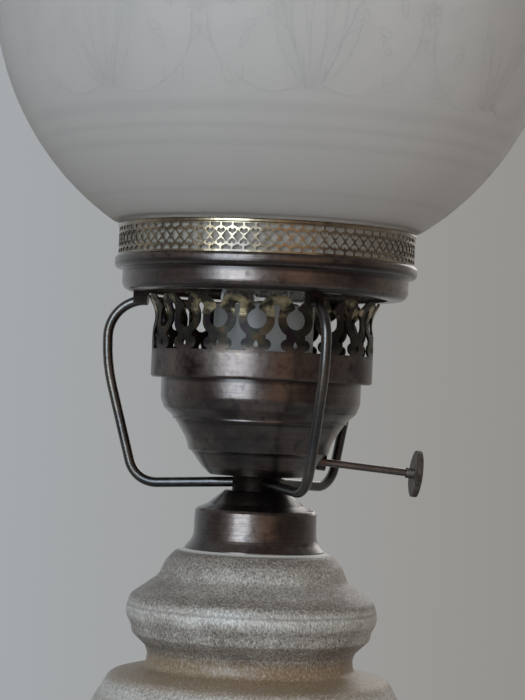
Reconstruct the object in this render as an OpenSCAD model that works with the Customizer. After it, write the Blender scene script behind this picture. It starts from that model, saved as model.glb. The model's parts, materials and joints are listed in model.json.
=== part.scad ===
// Electric table lamp in the style of an oil lamp. Millimetres, +Z up, origin at
// the centre of the face that it stands on. The camera side is -Y.

/* [Ceramic body] */
// Height of the glazed body above the felt
body_h = 181.5; // [150:0.5:220]
// Wall of the body
body_wall = 5; // [4:0.5:7]
// Diameter of the rim that carries the collar
rim_d = 49.2; // [46:0.2:54]
// Diameter of the shoulder under the rim
shoulder_d = 61.4; // [58:0.2:64]
// Diameter of the cove under the shoulder
cove_d = 65.4; // [63:0.2:68]
// Diameter of the upper bead
bead_d = 88; // [84:0.2:94]
// Diameter of the ridge under the bead
ridge_d = 83.4; // [80:0.2:86]
// Diameter of the waist
waist_d = 71; // [68:0.2:74]
// Diameter where the belly begins
belly_top_d = 96.6; // [94:0.2:104]
// Largest diameter of the belly
belly_d = 132; // [124:1:140]
// Diameter of the cove above the foot
ankle_d = 96; // [88:1:104]
// Diameter of the foot
foot_d = 128; // [120:1:134]
// Depth of the hollow under the foot
foot_hollow = 8; // [7.5:0.5:12]

/* [Base] */
// Thickness of the felt ring
felt_t = 1.5; // [1:0.5:3]
// Width of the felt ring
felt_w = 9; // [6:0.5:10]
// Outer diameter of the steel plate under the body
plate_d = 98; // [92:1:100]
// Thickness of the plate
plate_t = 1.5; // [1:0.5:2.5]
// Thickness of the washer
washer_t = 0.8; // [0.5:0.1:1.2]
// Height of the cord hole above the table
cord_hole_z = 17.5; // [16:0.5:18]
// Diameter of the cord hole
cord_hole_d = 8.4; // [7:0.2:9]

/* [Threaded tube] */
// Outer diameter of the tube that ties the lamp together
tube_d = 10; // [9.5:0.1:10.5]
// Bore for the wires
tube_bore = 7; // [6:0.5:8]
// Width across the flats of its nuts
nut_af = 14; // [13.5:0.5:14]
// Height of the nuts
nut_h = 2.8; // [2:0.2:3]

/* [Collar] */
// Height of the collar
collar_h = 20.5; // [19:0.5:24]
// Diameter of its wall
collar_d = 42.3; // [40:0.1:45]
// Diameter of its flat top
collar_top_d = 22; // [19:0.5:24]
// Height of its wall up to the shoulder
collar_wall_h = 14.4; // [12:0.1:15]

/* [Burner bowl] */
// Sheet of the bowl, the crown and the collar
sheet = 0.8; // [0.6:0.1:1]
// Height of the bowl
bowl_h = 34.5; // [33:0.5:38]
// Diameter of the upper tier
bowl_d = 69.4; // [67:0.2:71]
// Diameter at the foot of the upper tier
bowl_step_d = 60.4; // [59:0.2:62]
// Height of that step
bowl_step_h = 18.7; // [17.5:0.1:20]
// Diameter at the foot of the middle tier
bowl_mid_d = 48.6; // [47.6:0.2:50]
// Height of the foot of the middle tier
bowl_mid_h = 8; // [7.6:0.1:8.8]
// Diameter of the flat underside
bowl_foot_d = 33; // [31:0.5:35]

/* [Crown] */
// Diameter of the plain band
crown_d = 76.8; // [74:0.2:78]
// Height of the plain band
crown_band_h = 9.6; // [8:0.2:12]
// Height of the pierced work above the band
crown_pierced_h = 18.5; // [17:0.5:21]
// Diameter of the waist in the pierced work
crown_waist_d = 74.2; // [72:0.2:75]
// Diameter over the flared tips
crown_tip_d = 80.4; // [78:0.2:81]
// Number of scrolls round the crown
crown_units = 18; // [14:1:19]
// Turn of the scrolls about the axis, in degrees
crown_turn = 6.5; // [0:0.1:19.9]
// Width of each scroll's ribbon
scroll_w = 2.7; // [2:0.1:2.9]
// Radius of the eye in each scroll
scroll_eye_r = 3.25; // [2.8:0.05:3.6]
// Height of the eye above the band
scroll_eye_z = 10.6; // [10:0.1:11.2]
// Width of each scroll just above its feet
scroll_neck_w = 6; // [4:0.2:7]
// Radius of the round feet of each scroll
scroll_foot_r = 1.9; // [1.4:0.1:2.1]

/* [Shade ring] */
// Sheet of the ring
ring_t = 1; // [0.8:0.1:1.2]
// Height of the ring
ring_h = 12; // [11:0.5:15]
// Height of the ledge that the glass stands on
ring_seat_z = 8.6; // [7:0.2:9]
// Width of the flange under the ring
ring_flange_w = 7.1; // [6.6:0.1:8]
// Thickness of the bead outside the gallery
ring_bead_t = 1.1; // [0.8:0.1:1.5]
// Height of the gap between the crown and the ring
crown_gap = 1.3; // [0.8:0.1:4]

/* [Gallery strip] */
// Height of the strip above the ring
gallery_h = 11; // [9:0.5:13]
// Sheet of the strip
gallery_t = 0.5; // [0.4:0.1:0.8]
// Number of heart columns
gallery_columns = 84; // [72:2:88]
// Radius of the rolled top edge
gallery_roll_r = 0.7; // [0.6:0.1:0.8]

/* [Wire arms] */
// Diameter of the wire
wire_d = 3.5; // [3:0.1:3.8]
// Greatest distance of the wire's centre from the axis
arm_reach = 54.9; // [54:0.1:58]
// Distance from the axis where the wire turns up
arm_elbow_r = 43.2; // [40:0.2:46]
// Height above the hub where the wire stands upright
arm_belly_z = 39.5; // [34:0.5:44]
// Radius of the lower bend
arm_elbow_bend = 10; // [7:0.5:12]
// Radius of the upper bend
arm_top_bend = 13; // [12:0.5:13.1]
// Diameter of the hub that holds the arms
hub_d = 17; // [16:0.5:20]
// Height of the hub
hub_h = 5.2; // [5:0.1:7]
// Direction of the left arm in degrees
arm_left_az = 172; // [165:1:178]
// Length of the lugs under the ring
lug_l = 4.8; // [4:0.1:5.2]
// Width of the lugs
lug_w = 5; // [4:0.5:7]
// Drop of the wire's centre below the ring
wire_drop = 2.8; // [2.3:0.1:3.4]

/* [Switch key] */
// Diameter of the key's shaft
key_d = 2.6; // [2.2:0.1:3]
// Slope of the shaft below the level in degrees
key_drop = 5; // [3:0.5:6]
// Direction of the shaft in degrees
key_az = 7; // [0:1:12]
// Height of the shaft above the bowl's underside, at the axis
key_z = 7.6; // [7.4:0.1:8]
// Distance of the knob's inner face from the axis
knob_reach = 55; // [48:0.5:62]
// Diameter of the knob
knob_d = 16.4; // [14:0.2:20]
// Thickness of the knob
knob_t = 2.2; // [1.8:0.1:3]
// Number of teeth round the knob
knob_teeth = 48; // [36:1:60]

/* [Lampholder] */
// Outer diameter of the lampholder
holder_d = 34.8; // [34:0.2:36]
// Height of the lampholder
holder_h = 58; // [56:0.5:62]
// Height of its lower cup
cup_h = 14; // [13.8:0.1:15]
// Inner diameter of the thread shell
shell_bore = 26.9; // [26.8:0.1:27.4]
// Height of the thread shell
shell_h = 26; // [24:0.5:28]

/* [Bulb] */
// Diameter over the thread of the cap
cap_d = 26.2; // [26:0.1:26.3]
// Pitch of the thread
cap_pitch = 3.63; // [3.5:0.01:3.7]
// Diameter of the bulb
bulb_d = 60; // [55:1:62]
// Length of the bulb
bulb_l = 105; // [100:1:112]
// Diameter of its neck
neck_d = 31.2; // [30:0.2:32.4]

/* [Globe] */
// Outer diameter of the globe
globe_d = 195.6; // [180:0.2:210]
// Width of the step from the neck to the round of the globe
globe_step_w = 3.7; // [3.2:0.1:7]
// Wall of the globe
globe_wall = 2.8; // [2.2:0.1:3.4]
// Diameter of the neck that stands in the ring
fitter_d = 99.8; // [99:0.2:104]
// Height of that neck
fitter_h = 15.6; // [14.8:0.2:17.4]
// Diameter of the open top
mouth_d = 84; // [76:1:96]

/* [Fits] */
// Gap between the glass neck and the gallery strip
fitter_gap = 1; // [0.6:0.1:1.4]
// Width of the ledge under the glass
seat_w = 1.2; // [0.9:0.1:1.6]
// Play on the radius of the key in its bearings
key_fit = 0.05; // [0.02:0.01:0.1]
// Play on the radius round the threaded tube
tube_fit = 0.2; // [0.1:0.05:0.4]
// Gap between pieces that move past each other
free_gap = 0.4; // [0.3:0.05:0.6]
// Gap between pieces that fit inside the lampholder
holder_fit = 0.1; // [0.05:0.05:0.2]

/* [Hidden] */
$fn = 96;
// Largest step of an arc in a drawn outline
arc_step = 12;

// Levels, from the table up
body_z = felt_t;
rim_z = body_z + body_h;
hub_z = rim_z + collar_h;
bowl_z = hub_z + hub_h;
bowl_top_z = bowl_z + bowl_h;
crown_z = bowl_top_z - 2 * sheet;
crown_top_z = crown_z + crown_band_h + crown_pierced_h;
ring_z = crown_top_z + crown_gap;
seat_z = ring_z + ring_seat_z;
ring_top_z = ring_z + ring_h;
holder_z = bowl_z + sheet;

// Body
flange_z = body_z + foot_hollow;
flange_bore_d = 76;
shoulder_z = rim_z - 4.8;
cove_z = rim_z - 9.7;
bead_z = rim_z - 22.5;
ridge_z = rim_z - 26.6;
waist_z = rim_z - 36.8;
belly_top_z = rim_z - 43.6;
belly_z = rim_z - 88;
belly_bend = 30;
ankle_z = rim_z - 142;
foot_top_z = rim_z - 156;
plate_z = flange_z - plate_t;
washer_z = plate_z - washer_t;
base_nut_z = washer_z - nut_h;
tube_hole_d = tube_d + 2 * tube_fit;
neck_hole_d = 18;
neck_plate_t = 6;
neck_plug_h = 4;
neck_flange_t = 1.5;
neck_flange_gap = 3;

// Ring and gallery
fitter_r = fitter_d / 2;
ring_r = fitter_r - seat_w + ring_t;
gallery_r = fitter_r + fitter_gap;
bead_r = gallery_r + gallery_t + ring_bead_t;
flange_r = ring_r - ring_flange_w;

// Arms
arm_azimuths = [arm_left_az, arm_left_az + 120, arm_left_az + 240];
hub_wire_z = hub_z + hub_h / 2 + 0.3;
elbow_wire_z = hub_wire_z - 2;
top_wire_z = ring_z - wire_drop;
hub_hole_r = 6.3;
arm_belly_bend = 60;
wire_end_r = arm_reach - arm_top_bend - 0.7;

// Key
key_axis_z = bowl_z + key_z;
rotor_s = 9.5;
rotor_l = 3.1;
rotor_r = 3;
bush_d = 6;
bush_l = 3.2;
bush_s = bowl_mid_d / 2 - 3.7;
knob_hub_l = 2.6;
pin_d = 2;
pin_proud = 0.6;

// Lampholder, measured up from its underside
holder_r = holder_d / 2;
skirt_bore_r = holder_r - 1.5;
spigot_r = skirt_bore_r - holder_fit;
cup_bore_r = spigot_r - 1.2;
cup_floor = 1.5;
block_r = cup_bore_r - holder_fit;
block_h = cup_h - cup_floor - 0.5;
insulator_z = holder_z + cup_h + 5;
insulator_t = 5;
boss_h = 3;
contact_h = 3.2;
shell_z = insulator_z + insulator_t;
shell_t = 0.4;
screw_r = 9;

// Bulb, measured up from its contact
bulb_z = shell_z + boss_h + contact_h;
cap_z = 3.4;
cap_h = 20.6;
cap_bore_r = cap_d / 2 - 1.35;
bulb_centre = bulb_l - bulb_d / 2;
stem_h = 46;
lead_x = 10;

// Globe
globe_r = globe_d / 2;
globe_low_r = fitter_r + globe_step_w;
fitter_top_z = seat_z + fitter_h;
globe_z = fitter_top_z + sqrt(globe_r * globe_r - globe_low_r * globe_low_r);

// Outlines: [x, y, corner radius] points become a line with rounded corners
function unit(v) = v / norm(v);
function flat(p) = [p[0], p[1]];
function corner(a, b, c) =
    let (
        u = unit(flat(a) - flat(b)),
        w = unit(flat(c) - flat(b)),
        half = acos(max(-1, min(1, u * w))) / 2,
        centre = flat(b) + unit(u + w) * b[2] / sin(half),
        start = flat(b) + u * b[2] / tan(half) - centre,
        first = atan2(start[1], start[0]),
        side = cross(-u, w) > 0 ? 1 : -1,
        sweep = side * (180 - 2 * half),
        steps = ceil(abs(sweep) / arc_step)
    )
    [for (i = [0:steps]) centre + b[2] * [cos(first + sweep * i / steps), sin(first + sweep * i / steps)]];
function rounded(path) = [
    for (i = [0:len(path) - 1])
        let (p = path[i], inner = i > 0 && i < len(path) - 1 && p[2] > 0)
        each inner ? corner(path[i - 1], p, path[i + 1]) : [flat(p)]
];

// The same line moved sideways by t, to its left, which gives a wall its other face
function normal(a, b) = let (d = unit(b - a)) [-d[1], d[0]];
function aside(path, t) = [
    for (i = [0:len(path) - 1])
        let (
            last = len(path) - 1,
            before = normal(path[max(i - 1, 0)], path[max(i, 1)]),
            after = normal(path[min(i, last - 1)], path[min(i + 1, last)]),
            mean = unit(before + after),
            moved = path[i] + mean * t / (mean * before)
        )
        [max(moved[0], 0), moved[1]]
];
function backward(path) = [for (i = [len(path) - 1:-1:0]) path[i]];
function wall(path, t) = concat(path, backward(aside(path, t)));
function arc(centre, r, from, to, steps) = [
    for (i = [0:steps]) let (a = from + (to - from) * i / steps) centre + r * [cos(a), sin(a)]
];

module spin(points) rotate_extrude($fn = 128) polygon(points);
module at(z) translate([0, 0, z]) children();
module bore(d, z, h) at(z) cylinder(d = d, h = h);
module hex_nut(z) at(z) difference() {
    cylinder(d = nut_af / cos(30), h = nut_h, $fn = 6);
    bore(tube_d, -1, nut_h + 2);
}
// Extrudes a flat shape outward, with its x along the ring and its y upward
module outward(az, from, to) rotate([0, 0, az]) translate([from, 0, 0])
    rotate([90, 0, 90]) linear_extrude(to - from) children();

// A round wire swept along a line of [r, z] points in the XZ plane
wire_sides = 16;
module wire(line, d) {
    last = len(line) - 1;
    rings = [for (i = [0:last]) let (
        before = normal(line[max(i - 1, 0)], line[max(i, 1)]),
        after = normal(line[min(i, last - 1)], line[min(i + 1, last)]),
        mean = unit(before + after) / (unit(before + after) * before)
    ) for (k = [0:wire_sides - 1]) let (
        across = cos(360 * k / wire_sides) * d / 2,
        side = sin(360 * k / wire_sides) * d / 2
    ) [line[i][0] + mean[0] * across, side, line[i][1] + mean[1] * across]];
    sides = [for (i = [0:last - 1], k = [0:wire_sides - 1]) let (
        a = i * wire_sides + k,
        b = i * wire_sides + (k + 1) % wire_sides
    ) each [[a, b + wire_sides, b], [a, a + wire_sides, b + wire_sides]]];
    ends = [
        [for (k = [0:wire_sides - 1]) k],
        [for (k = [wire_sides - 1:-1:0]) last * wire_sides + k]
    ];
    polyhedron(rings, concat(sides, ends));
}

// Base and body

module felt_ring() color("darkolivegreen") difference() {
    cylinder(d = foot_d - 6, h = felt_t);
    bore(foot_d - 6 - 2 * felt_w, -1, felt_t + 2);
}

module base_plate() color("silver") difference() {
    bore(plate_d, plate_z, plate_t);
    bore(tube_hole_d, plate_z - 1, plate_t + 2);
}

module base_washer() color("silver") difference() {
    bore(22, washer_z, washer_t);
    bore(tube_hole_d, washer_z - 1, washer_t + 2);
}

module base_nut() color("silver") hex_nut(base_nut_z);

module threaded_tube() color("silver") difference() {
    bore(tube_d, base_nut_z - 0.6, holder_z + cup_floor + nut_h + 0.3 - base_nut_z + 0.6);
    bore(tube_bore, 0, holder_z + cup_h);
}

// The turned outline, listed from the foot to the rim
function body_line() = rounded([
    [foot_d / 2 - 2, body_z, 0],
    [foot_d / 2, body_z + 2, 1.5],
    [foot_d / 2, foot_top_z - 6, 5],
    [foot_d / 2 - 6, foot_top_z + 3, 3],
    [ankle_d / 2 + 1, ankle_z - 7, 4],
    [ankle_d / 2, ankle_z, 10],
    [belly_d / 2 + 1, belly_z - 22, 26],
    [belly_d / 2, belly_z + 14, belly_bend],
    [belly_top_d / 2, belly_top_z, 4.5],
    [waist_d / 2 + 0.5, waist_z - 3.7, 2.6],
    [waist_d / 2, waist_z + 0.2, 4],
    [waist_d / 2 + 1, waist_z + 3, 3],
    [ridge_d / 2 - 0.5, ridge_z - 2.8, 1.8],
    [ridge_d / 2, ridge_z, 2.5],
    [bead_d / 2, bead_z, 7],
    [bead_d / 2 - 1.8, bead_z + 5.9, 3.2],
    [cove_d / 2, cove_z, 5],
    [shoulder_d / 2, shoulder_z, 6],
    [shoulder_d / 2 - 3.1, rim_z - 1.3, 3],
    [rim_d / 2, rim_z, 0]
]);

// The cavity follows it a wall's thickness in, past the small mouldings
function body_inside() = rounded([
    [foot_d / 2 - body_wall - 2, flange_z + body_wall, 0],
    [foot_d / 2 - body_wall - 2, foot_top_z - 6, 5],
    [ankle_d / 2 - body_wall, ankle_z - 8, 6],
    [ankle_d / 2 - body_wall, ankle_z + 4, 12],
    [belly_d / 2 - body_wall, belly_z - 20, 26],
    [belly_d / 2 - body_wall, belly_z + 13, belly_bend - body_wall],
    [belly_top_d / 2 - body_wall, belly_top_z - 5, 5],
    [waist_d / 2 - body_wall, waist_z - 8, 5],
    [waist_d / 2 - body_wall, waist_z + 4, 5],
    [bead_d / 2 - body_wall, bead_z - 3, 4],
    [bead_d / 2 - body_wall, bead_z + 2, 4],
    [cove_d / 2 - body_wall - 1, cove_z - 3, 5],
    [cove_d / 2 - body_wall - 1, rim_z - neck_plate_t, 0]
]);

module body_solid() spin(concat([[0, body_z]], body_line(), [[0, rim_z]]));

module ceramic_body() color("tan") difference() {
    body_solid();
    spin(concat([[0, flange_z + body_wall]], body_inside(), [[0, rim_z - neck_plate_t]]));
    bore(plate_d + 1, 0, flange_z);
    bore(flange_bore_d, 0, flange_z + body_wall + 1);
    bore(neck_hole_d, rim_z - neck_plate_t - 1, neck_plate_t + 2);
    cord_way(cord_hole_d, 0);
}

// Level hole toward the back, through the wall of the foot
module cord_way(d, from) translate([0, from, cord_hole_z]) rotate([-90, 0, 0])
    cylinder(d = d, h = foot_d, $fn = 48);

// Its plug goes through to the face of its flange, which lies on the wall
module cord_grommet() color("dimgray") difference() {
    intersection() {
        union() {
            cord_way(cord_hole_d, foot_d / 4);
            difference() {
                cord_way(cord_hole_d + 4, foot_d / 4);
                body_solid();
            }
        }
        bore(foot_d + 3, 0, cord_hole_z * 2);
    }
    cord_way(cord_hole_d - 3, 0);
    bore(foot_d - 4 * body_wall, 0, cord_hole_z * 2);
}

module neck_washer() color("ivory") difference() {
    union() {
        bore(collar_d - 2 * neck_flange_gap, rim_z, neck_flange_t);
        bore(neck_hole_d - 2 * tube_fit, rim_z - neck_plug_h, neck_plug_h + neck_flange_t);
    }
    bore(tube_hole_d, rim_z - neck_plug_h - 1, neck_plug_h + neck_flange_t + 2);
}

// Collar, hub, arms and ring

function collar_line() = rounded([
    [tube_hole_d / 2, hub_z, 0],
    [collar_top_d / 2, hub_z, 1],
    [collar_d / 2 - 4.5, rim_z + collar_wall_h + 1.4, 3],
    [collar_d / 2 - 0.6, rim_z + collar_wall_h - 0.3, 1],
    [collar_d / 2, rim_z + collar_wall_h - 1.3, 1],
    [collar_d / 2 + 0.2, rim_z + 3.8, 6],
    [rim_d / 2 - 0.4, rim_z + 0.4, 0],
    [rim_d / 2 - 0.4, rim_z, 0]
]);

module collar() color("saddlebrown") spin(wall(backward(collar_line()), sheet));

module arm(az) color("sienna") rotate([0, 0, az]) wire(rounded([
    [hub_hole_r, hub_wire_z, 0],
    [arm_elbow_r, elbow_wire_z, arm_elbow_bend],
    [arm_reach, hub_wire_z + arm_belly_z, arm_belly_bend],
    [arm_reach, top_wire_z, arm_top_bend],
    [wire_end_r, top_wire_z, 0]
]), wire_d);

module arm_hub() color("saddlebrown") difference() {
    bore(hub_d, hub_z, hub_h);
    bore(tube_hole_d, hub_z - 1, hub_h + 2);
    for (az = arm_azimuths) rotate([0, 0, az]) translate([hub_hole_r, 0, hub_wire_z])
        rotate([0, 90 + arm_fall, 0]) cylinder(d = wire_d, h = hub_d, $fn = 32);
}
arm_fall = atan2(hub_wire_z - elbow_wire_z, arm_elbow_r - hub_hole_r);

module arm_left() arm(arm_azimuths[0]);
module arm_front() arm(arm_azimuths[1]);
module arm_back() arm(arm_azimuths[2]);

// Each lug is a block with a saddle for the end of the wire and its bend
module ring_lugs() color("saddlebrown") for (az = arm_azimuths) rotate([0, 0, az]) difference() {
    translate([wire_end_r, -lug_w / 2, top_wire_z - wire_d / 4])
        cube([lug_l, lug_w, ring_z - top_wire_z + wire_d / 4]);
    translate([arm_reach - arm_top_bend, 0, top_wire_z])
        rotate([0, -90, 0]) cylinder(d = wire_d, h = lug_l, $fn = 32);
    translate([arm_reach - arm_top_bend, 0, top_wire_z - arm_top_bend]) rotate([90, 0, 0])
        rotate_extrude(angle = 90) translate([arm_top_bend, 0]) circle(d = wire_d, $fn = 32);
}

function ring_line() = rounded([
    [flange_r, ring_z, 0],
    [ring_r, ring_z, 3.2],
    [ring_r, seat_z - ring_t, 0.5],
    [bead_r, seat_z - ring_t, 1.6],
    [bead_r, ring_top_z, 1.4],
    [gallery_r + gallery_t, ring_top_z, 0]
]);

module shade_ring() color("saddlebrown") spin(concat(ring_line(), rounded([
    [gallery_r + gallery_t, ring_top_z, 0],
    [gallery_r + gallery_t, seat_z, 0],
    [ring_r - ring_t, seat_z, 0],
    [ring_r - ring_t, ring_z + ring_t, 2.2],
    [flange_r, ring_z + ring_t, 0]
])));

// One column of the strip: two hearts point to point, a stub to each edge, and the
// lozenge and the two edge gaps beside them
heart_pitch = 2 * PI * gallery_r / gallery_columns;
heart_bar = 0.5;
pierced_h = gallery_h - 2 * gallery_roll_r - 0.8;
heart_h = pierced_h * 0.36;
stub_h = pierced_h / 2 - heart_h;

module heart_eye() {
    half = heart_pitch / 2 - heart_bar;
    top = heart_h - heart_bar;
    polygon([
        [0, heart_bar + 0.2], [half, top - half * 0.8], [half * 0.9, top - half * 0.25], [half * 0.5, top],
        [0, top - half * 0.4], [-half * 0.5, top], [-half * 0.9, top - half * 0.25], [-half, top - half * 0.8]
    ]);
}

module lozenge() {
    half = heart_pitch / 2 - heart_bar / 2;
    polygon([[0, heart_h * 0.66], [half, 0], [0, -heart_h * 0.66], [-half, 0]]);
}

module edge_gap() {
    half = heart_pitch / 2 - heart_bar / 2;
    top = heart_h + stub_h;
    foot = top - stub_h * 0.8;
    polygon([[half, top], [-half, top], [-half, foot], [0, heart_h * 0.85], [half, foot]]);
}

// The strip is bent in flats, one flat to a column of hearts
function flats(r) = [for (i = [0:gallery_columns - 1])
    let (az = (i + 0.5) * 360 / gallery_columns) r * [cos(az), sin(az)]];

module gallery_strip() color("goldenrod") {
    mid_z = ring_top_z + 0.6 + pierced_h / 2;
    edge_z = ring_top_z + gallery_h - 2 * gallery_roll_r;
    difference() {
        at(seat_z) linear_extrude(edge_z - seat_z) difference() {
            polygon(flats(gallery_r + gallery_t));
            polygon(flats(gallery_r));
        }
        for (i = [0:gallery_columns - 1]) round_strip(i) translate([0, mid_z])
            for (side = [0, 1]) mirror([0, side]) heart_eye();
        for (i = [0:gallery_columns - 1]) round_strip(i + 0.5) translate([0, mid_z]) {
            lozenge();
            for (side = [0, 1]) mirror([0, side]) edge_gap();
        }
    }
    lip = gallery_t / 2 + 0.06;
    r = gallery_roll_r;
    spin([for (p = [[-lip, -r], [lip, -r], [r, -lip], [r, lip], [lip, r], [-lip, r], [-r, lip], [-r, -lip]])
        [gallery_r + gallery_t / 2, edge_z + r] + p]);
}

module round_strip(i) outward(i * 360 / gallery_columns, gallery_r - 2, gallery_r + 2) children();

// Burner

// The outline of the bowl, with the little steps between its tiers outside only
function bowl_line(step) = rounded([
    [tube_hole_d / 2, bowl_z, 0],
    [bowl_foot_d / 2, bowl_z, 1.6],
    [bowl_foot_d / 2 + 2.9, bowl_z + 2.6, 4],
    [bowl_mid_d / 2 - 1.5, bowl_z + bowl_mid_h - 0.8, 3],
    if (step > 0) [bowl_mid_d / 2 - step, bowl_z + bowl_mid_h, 0],
    if (step > 0) [bowl_mid_d / 2, bowl_z + bowl_mid_h + 0.3, 0],
    [bowl_mid_d / 2 + 1, bowl_z + bowl_mid_h + 4.1, 12],
    [bowl_step_d / 2 - step, bowl_z + bowl_step_h, 0],
    if (step > 0) [bowl_step_d / 2, bowl_z + bowl_step_h + 0.4, 0],
    [bowl_step_d / 2 + 0.5, bowl_z + bowl_step_h + 1.4, 1.4],
    [bowl_d / 2 - 1.3, bowl_z + bowl_step_h + 3.8, 1.6],
    [bowl_d / 2, bowl_z + bowl_step_h + 7.4, 4],
    [bowl_d / 2, bowl_top_z - sheet, 0],
    [crown_d / 2 - sheet, bowl_top_z - sheet, 0]
]);

module burner_bowl() color("saddlebrown") difference() {
    spin(concat(bowl_line(0.8), backward(aside(bowl_line(0), sheet))));
    on_key_axis() cylinder(d = bush_d, h = bowl_d / 2);
}

// Three openings per scroll: the eye with its slit and notch, the drop between its
// feet, and the bell between it and the next one
scroll_r = scroll_eye_r + scroll_w;
scroll_pitch = crown_waist_d * sin(180 / crown_units);
scroll_foot_z = scroll_foot_r + 0.3;
crest_w = 3.8;
notch_w = 1;
bell_tip_r = 1.15;
slit_play = 0.12;
drop_r = 0.8;

// Draws half an outline on both sides of the axis
module mirrored(half) polygon(concat(half, [for (p = backward(half)) [-p[0], p[1]]]));

// The eye is pointed and opens into a notch that widens up to the next crest
module eye_opening() {
    eye_top = scroll_eye_z + scroll_eye_r;
    reach = (scroll_pitch - crest_w) / 2;
    translate([0, scroll_eye_z]) circle(scroll_eye_r, $fn = 40);
    mirrored([[scroll_eye_r * 0.6, scroll_eye_z + scroll_eye_r * 0.6], [notch_w / 2, eye_top + 0.5]]);
    mirrored(rounded([
        [notch_w / 2, eye_top - 0.5, 0],
        [notch_w / 2, eye_top + 0.8, 2],
        [reach - 1.6, crown_pierced_h - 0.8, 1.5],
        [reach, crown_pierced_h + 0.2, 0],
        [reach, crown_pierced_h + 1, 0]
    ]));
}

module drop_opening() translate([0, scroll_foot_z - 0.2]) {
    circle(drop_r, $fn = 24);
    polygon([[-drop_r * 0.9, 0.3], [drop_r * 0.9, 0.3], [0, 2.1 * drop_r]]);
}

module bell_opening() {
    side = scroll_pitch / 2;
    slit = side - scroll_r + slit_play;
    tip_z = scroll_eye_z + scroll_r - 1 - bell_tip_r;
    neck = side - scroll_neck_w / 2;
    difference() {
        translate([-neck, 0]) square([2 * neck, scroll_eye_z]);
        for (s = [-1, 1]) {
            translate([s * side, scroll_eye_z]) circle(scroll_r, $fn = 48);
            translate([s * (neck + 0.1), scroll_foot_z]) circle(scroll_foot_r, $fn = 32);
        }
    }
    mirrored([[slit, scroll_eye_z - 1.6], [slit, scroll_eye_z + 1.4], [bell_tip_r * 0.9, tip_z]]);
    translate([0, tip_z]) circle(bell_tip_r, $fn = 24);
}

function crown_line() = rounded([
    [bowl_d / 2 + 0.1, crown_z, 0],
    [crown_d / 2, crown_z, 1],
    [crown_d / 2, crown_z + crown_band_h + 7, 14],
    [crown_waist_d / 2, crown_z + crown_band_h + 12.4, 9],
    [crown_tip_d / 2 - 0.5, crown_top_z - 1.4, 4],
    [crown_tip_d / 2, crown_top_z, 0]
]);

module burner_crown() color("peru") difference() {
    spin(wall(crown_line(), sheet));
    for (i = [0:crown_units - 1]) round_crown(i) {
        eye_opening();
        drop_opening();
    }
    for (i = [0:crown_units - 1]) round_crown(i + 0.5) bell_opening();
}

module round_crown(i) outward(crown_turn + i * 360 / crown_units, crown_waist_d / 2 - 4, crown_tip_d / 2 + 2)
    translate([0, crown_z + crown_band_h]) children();

module bowl_nut() color("silver") hex_nut(holder_z + cup_floor);

// Lampholder

module holder_cup() color("gainsboro") difference() {
    union() {
        spin(rounded([
            [0, holder_z, 0],
            [holder_r, holder_z, 2.6],
            [holder_r, holder_z + cup_h, 0],
            [0, holder_z + cup_h, 0]
        ]));
        bore(2 * spigot_r, holder_z + cup_h, insulator_z - holder_z - cup_h);
    }
    bore(2 * cup_bore_r, holder_z + cup_floor, cup_h + 10);
    bore(tube_hole_d, holder_z - 1, cup_floor + 2);
    on_key_axis() cylinder(d = key_d + 2 * free_gap, h = holder_d);
}

module holder_skirt() color("gainsboro") difference() {
    bore(holder_d, holder_z + cup_h, holder_h - cup_h);
    bore(2 * skirt_bore_r, holder_z + cup_h - 1, holder_h);
}

module holder_insulator() color("white") difference() {
    union() {
        bore(2 * spigot_r, insulator_z, insulator_t);
        bore(10, insulator_z, insulator_t + boss_h);
    }
    for (s = [-1, 1]) translate([s * screw_r, 0, 0]) bore(3, insulator_z - 1, insulator_t + 2);
    bore(2.4, insulator_z - 1, insulator_t + boss_h + 2);
}

module thread_shell() color("goldenrod") difference() {
    bore(shell_bore + 2 * shell_t, shell_z, shell_h);
    bore(shell_bore, shell_z + 0.5, shell_h);
    bore(10, shell_z - 1, 3);
    for (s = [-1, 1]) translate([s * screw_r, 0, 0]) bore(3, shell_z - 1, 3);
}

module centre_contact() color("gold") {
    at(shell_z + boss_h) {
        translate([0, 2.5, 0]) rotate([90, 0, 0]) linear_extrude(5) {
            translate([-3.5, 0]) square([8, 0.5]);
            translate([4, 0]) square([0.5, contact_h]);
            translate([-2.5, contact_h - 0.5]) square([7, 0.5]);
        }
        bore(2.4, -boss_h - insulator_t, boss_h + insulator_t);
    }
}

module terminal_screws() color("silver") for (s = [-1, 1]) translate([s * screw_r, 0, 0]) {
    bore(3, insulator_z + 0.5, insulator_t);
    at(shell_z + 0.5) difference() {
        cylinder(d = 5, h = 1.6, $fn = 48);
        translate([-3, -0.4, 0.8]) cube([6, 0.8, 2]);
    }
}

// Rotary switch, with its parts along the sloping key axis

module on_key_axis() at(key_axis_z) rotate([0, 0, key_az]) rotate([0, 90 + key_drop, 0]) children();
module along_key(s) on_key_axis() translate([0, 0, s]) children();

module switch_block() color("dimgray") difference() {
    bore(2 * block_r, holder_z + cup_floor, block_h);
    bore(nut_af / cos(30) + 0.4, holder_z, cup_floor + nut_h + 0.6);
    along_key(rotor_s - 0.2) cylinder(r = rotor_r + free_gap, h = rotor_l + 0.4);
    along_key(rotor_s) cylinder(d = key_d + 2 * key_fit, h = holder_d);
    bore(4, holder_z, cup_h);
    contact_blades();
}

blade_z = key_axis_z + 2.1;
blade_t = 0.5;
module contact_blades() rotate([0, 0, key_az]) for (s = [-1, 1])
    translate([rotor_s + 0.4, s * 1.5 - blade_t / 2, blade_z])
        cube([2.2, blade_t, holder_z + cup_h + 1.5 - blade_z]);

module switch_contacts() color("gold") contact_blades();

module switch_bush() color("goldenrod") along_key(bush_s) difference() {
    cylinder(d = bush_d, h = bush_l);
    at(-1) cylinder(d = key_d + 2 * key_fit, h = bush_l + 2);
}

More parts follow.
